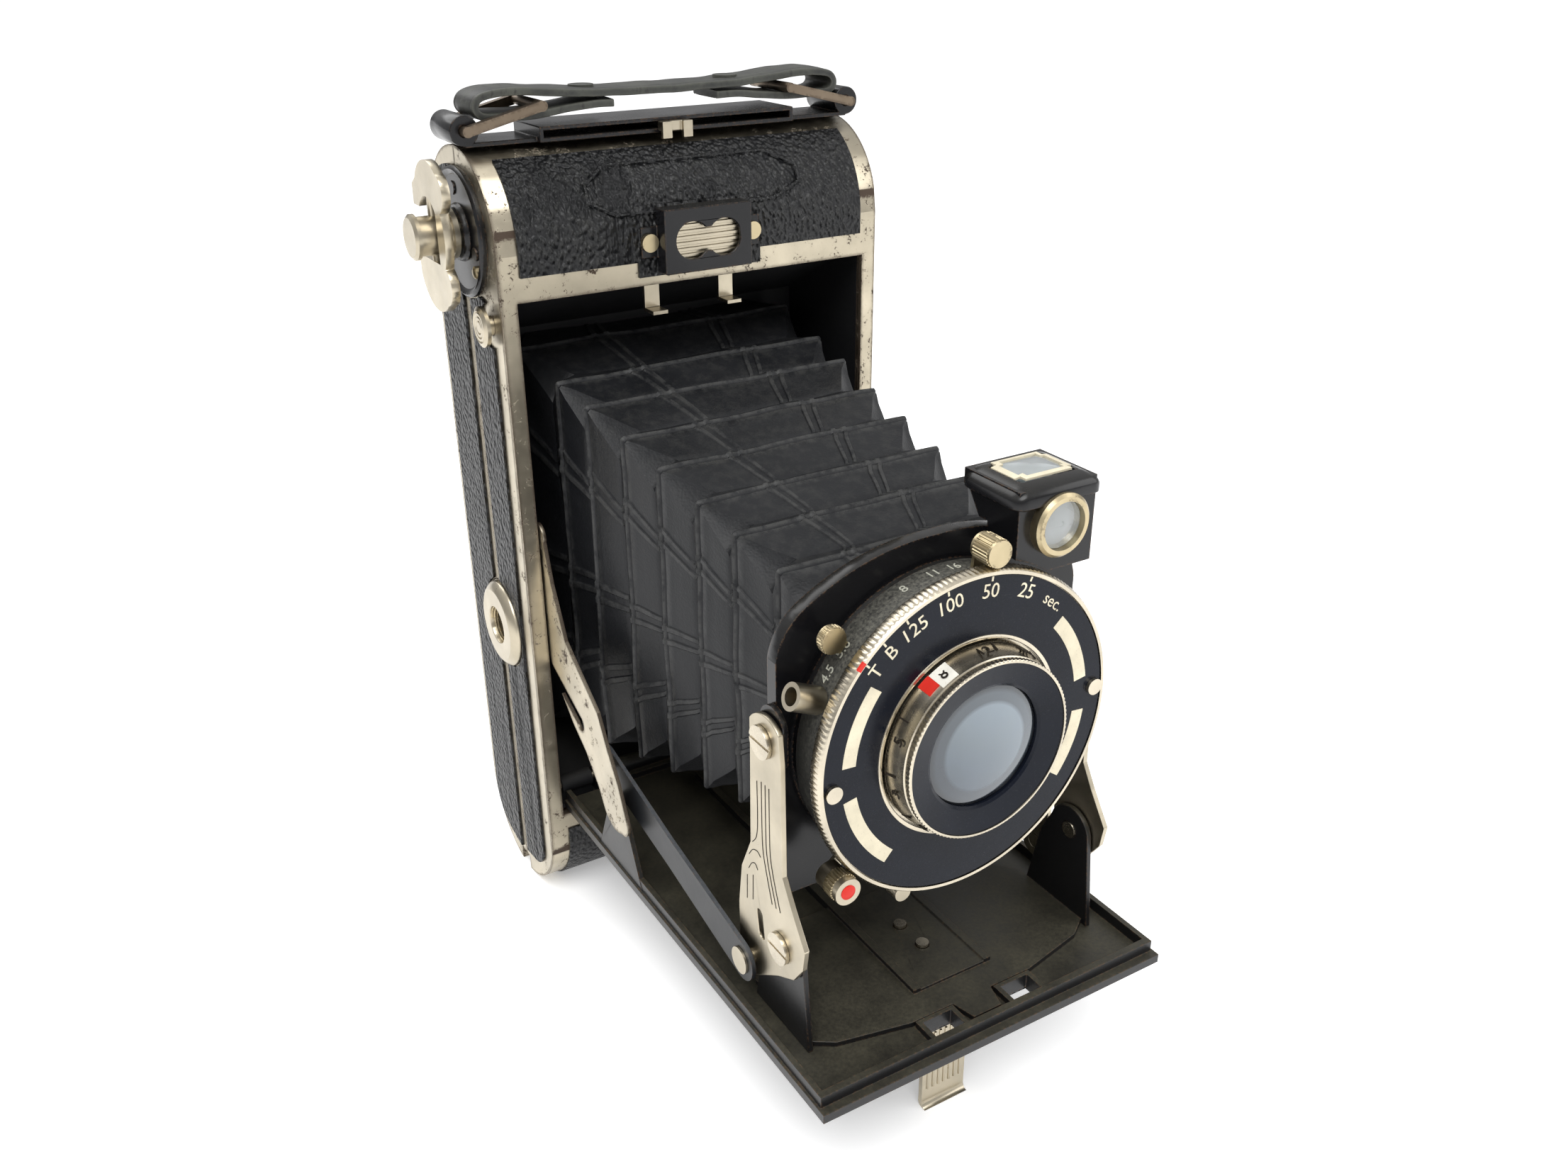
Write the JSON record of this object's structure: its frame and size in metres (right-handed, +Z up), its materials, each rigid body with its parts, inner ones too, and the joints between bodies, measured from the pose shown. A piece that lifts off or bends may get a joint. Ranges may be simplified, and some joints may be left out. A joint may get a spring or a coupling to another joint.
{
  "type": "folding roll-film camera",
  "caption": "Vertical folding camera standing open: drop bed, struts, bellows, leaf shutter and lens, waist-level finder, strap handle, winding key and fold-down leg.",
  "frame": {"origin": "centre of the front edge of the slip-on rim of the lens, on the optical axis, with the bed fully open", "axes": "the lens looks along -Y, +Z is up with the camera standing on its lower end and leg, +X is the finder side"},
  "size_m": [0.0946, 0.1398, 0.1711],
  "materials": {
    "black_enamel": "worn glossy black enamel",
    "nickel": "worn nickel plate, pitted to brown",
    "bright_nickel": "bright nickel plate, scuffed",
    "brass": "tarnished brass",
    "leatherette": "coarse pebble grain, dusty",
    "strap_leather": "worn, creased, grey-green black",
    "bellows_cloth": "folded leathercloth",
    "glass": "coated, bluish",
    "red_glass": "ruby red",
    "black_paint": "matt black paint",
    "dial": "blue-black lacquer with pale figures",
    "wood": "plain turned wood with metal flanges",
    "steel": "polished steel"
  },
  "bodies": {
    "case": {"main_case": "nickel", "front_frame": "nickel", "film_gate": "black_paint", "front_leather": "leatherette", "film_guides": "steel", "tripod_socket": "nickel", "wind_plate": "black_enamel", "release_housing": "black_enamel", "release_screws": "nickel", "bed_hinge_pin": "steel", "bellows": "bellows_cloth"},
    "back": {"back_cover": "nickel", "back_leather": "leatherette", "pressure_plate": "black_paint", "red_window": "red_glass", "window_frame": "black_enamel", "handle_plate": "black_enamel", "back_hinge_pin": "steel"},
    "counter_cover": {"window_cover": "black_enamel"},
    "latch": {"back_latch": "nickel"},
    "loop_left": {"strap_loop_left": "brass"},
    "loop_right": {"strap_loop_right": "brass"},
    "handle": {"handle_strap": "strap_leather", "handle_rivets": "brass"},
    "bed_tray": {"bed": "black_enamel", "bed_leather": "leatherette", "carriage_plate": "black_enamel", "carriage_screws": "nickel"},
    "leg": {"bed_leg": "nickel"},
    "strut_set": {"struts": "nickel", "strut_screws": "bright_nickel", "link_rivets": "nickel"},
    "standard": {"lens_board": "black_enamel", "shutter_case": "black_enamel", "dial_plate": "dial", "dial_screws": "nickel", "shutter_blades": "steel", "rear_cell": "black_paint", "cable_socket": "nickel", "finder_body": "black_enamel", "finder_ring": "brass", "finder_optics": "glass"},
    "link_set": {"links": "black_enamel"},
    "brace_set": {"braces": "nickel"},
    "speed_dial": {"speed_ring": "bright_nickel"},
    "focus_cell": {"focus_ring": "bright_nickel", "lens_ring": "black_paint", "front_lens": "glass"},
    "aperture": {"aperture_lever": "brass"},
    "cocking": {"cocking_lever": "nickel"},
    "self_timer": {"self_timer_lever": "nickel"},
    "shutter_release": {"release_lever": "nickel"},
    "winder": {"wind_shaft": "nickel", "take_up_spool": "wood"},
    "winder_key": {"wind_key": "nickel"},
    "supply": {"supply_spool": "wood"},
    "bed_release": {"release_button": "nickel", "bed_hooks": "steel"},
    "button": {"side_button": "nickel"}
  },
  "joints": [
    {"name": "bed_fold", "type": "hinge", "parent": "case", "child": "bed_tray", "pos_m": [0, 0.0982, -0.0494], "axis": [-1, 0, 0], "range_deg": [0, 90], "deforming": ["bellows"]},
    {"name": "strut_turn", "type": "hinge", "parent": "bed_tray", "child": "strut_set", "pos_m": [0, 0.0115, -0.03364], "axis": [-1, 0, 0], "range_deg": [0, 80.3], "deforming": ["bellows"]},
    {"name": "standard_turn", "type": "hinge", "parent": "strut_set", "child": "standard", "pos_m": [0, 0.0164, 0.00386], "axis": [-1, 0, 0], "range_deg": [-170.3, 0], "deforming": ["bellows"]},
    {"name": "link_turn", "type": "hinge", "parent": "strut_set", "child": "link_set", "pos_m": [0, 0.0219, -0.04294], "axis": [-1, 0, 0], "range_deg": [-78, 0]},
    {"name": "brace_turn", "type": "hinge", "parent": "bed_tray", "child": "brace_set", "pos_m": [0, 0.068, -0.0386], "axis": [-1, 0, 0], "range_deg": [-124.6, 0]},
    {"name": "leg_fold", "type": "hinge", "parent": "bed_tray", "child": "leg", "pos_m": [0, 0.005, -0.0559], "axis": [1, 0, 0], "range_deg": [0, 88]},
    {"name": "back_hinge", "type": "hinge", "parent": "case", "child": "back", "pos_m": [0, 0.112, -0.0762], "axis": [-1, 0, 0], "range_deg": [0, 95]},
    {"name": "counter_slide", "type": "slide", "parent": "back", "child": "counter_cover", "axis": [0, 0, 1], "range_m": [0, 0.014]},
    {"name": "latch_slide", "type": "slide", "parent": "back", "child": "latch", "axis": [0, -1, 0], "range_m": [0, 0.0015]},
    {"name": "handle_lift", "type": "slide", "parent": "back", "child": "handle", "axis": [0, 0, 1], "range_m": [0, 0.0035]},
    {"name": "loop_left_turn", "type": "hinge", "parent": "back", "child": "loop_left", "pos_m": [-0.0406, 0.1105, 0.0864], "axis": [0, -1, 0], "range_deg": [0, 15.1]},
    {"name": "loop_right_turn", "type": "hinge", "parent": "back", "child": "loop_right", "pos_m": [0.0406, 0.1105, 0.0864], "axis": [0, 1, 0], "range_deg": [0, 15.1]},
    {"name": "speed_turn", "type": "hinge", "parent": "standard", "child": "speed_dial", "pos_m": [0, 0.006, 0], "axis": [0, -1, 0], "range_deg": [-40, 80]},
    {"name": "focus_turn", "type": "hinge", "parent": "standard", "child": "focus_cell", "pos_m": [0, 0.002, 0], "axis": [0, -1, 0], "range_deg": [0, 270]},
    {"name": "aperture_turn", "type": "hinge", "parent": "standard", "child": "aperture", "pos_m": [0, 0.012, 0], "axis": [0, 1, 0], "range_deg": [0, 40]},
    {"name": "cocking_turn", "type": "hinge", "parent": "standard", "child": "cocking", "pos_m": [0, 0.01, 0], "axis": [0, -1, 0], "range_deg": [0, 35]},
    {"name": "self_timer_turn", "type": "hinge", "parent": "standard", "child": "self_timer", "pos_m": [0, 0.01, 0], "axis": [0, 1, 0], "range_deg": [0, 18]},
    {"name": "release_turn", "type": "hinge", "parent": "standard", "child": "shutter_release", "pos_m": [0, 0.011, 0], "axis": [0, -1, 0], "range_deg": [0, 12]},
    {"name": "wind_turn", "type": "hinge", "parent": "case", "child": "winder", "pos_m": [-0.042, 0.11, 0.068], "axis": [1, 0, 0], "continuous": true},
    {"name": "key_flip", "type": "hinge", "parent": "winder", "child": "winder_key", "pos_m": [-0.0466, 0.11, 0.068], "axis": [0, 0, -1], "range_deg": [-15, 20]},
    {"name": "supply_turn", "type": "hinge", "parent": "case", "child": "supply", "pos_m": [0, 0.1115, -0.0636], "axis": [1, 0, 0], "continuous": true},
    {"name": "release_slide", "type": "slide", "parent": "case", "child": "bed_release", "axis": [0, 0, 1], "range_m": [0, 0.0015]},
    {"name": "button_press", "type": "slide", "parent": "case", "child": "button", "axis": [1, 0, 0], "range_m": [0, 0.0008]}
  ],
  "couplings": [
    {"joint": "strut_turn", "follows": "bed_fold", "ratio": 0.8914},
    {"joint": "standard_turn", "follows": "bed_fold", "ratio": -1.8914},
    {"joint": "link_turn", "follows": "bed_fold", "ratio": -0.862},
    {"joint": "brace_turn", "follows": "bed_fold", "ratio": -1.383},
    {"joint": "loop_left_turn", "follows": "handle_lift", "rad_per_m": 74},
    {"joint": "loop_right_turn", "follows": "handle_lift", "rad_per_m": 74}
  ]
}
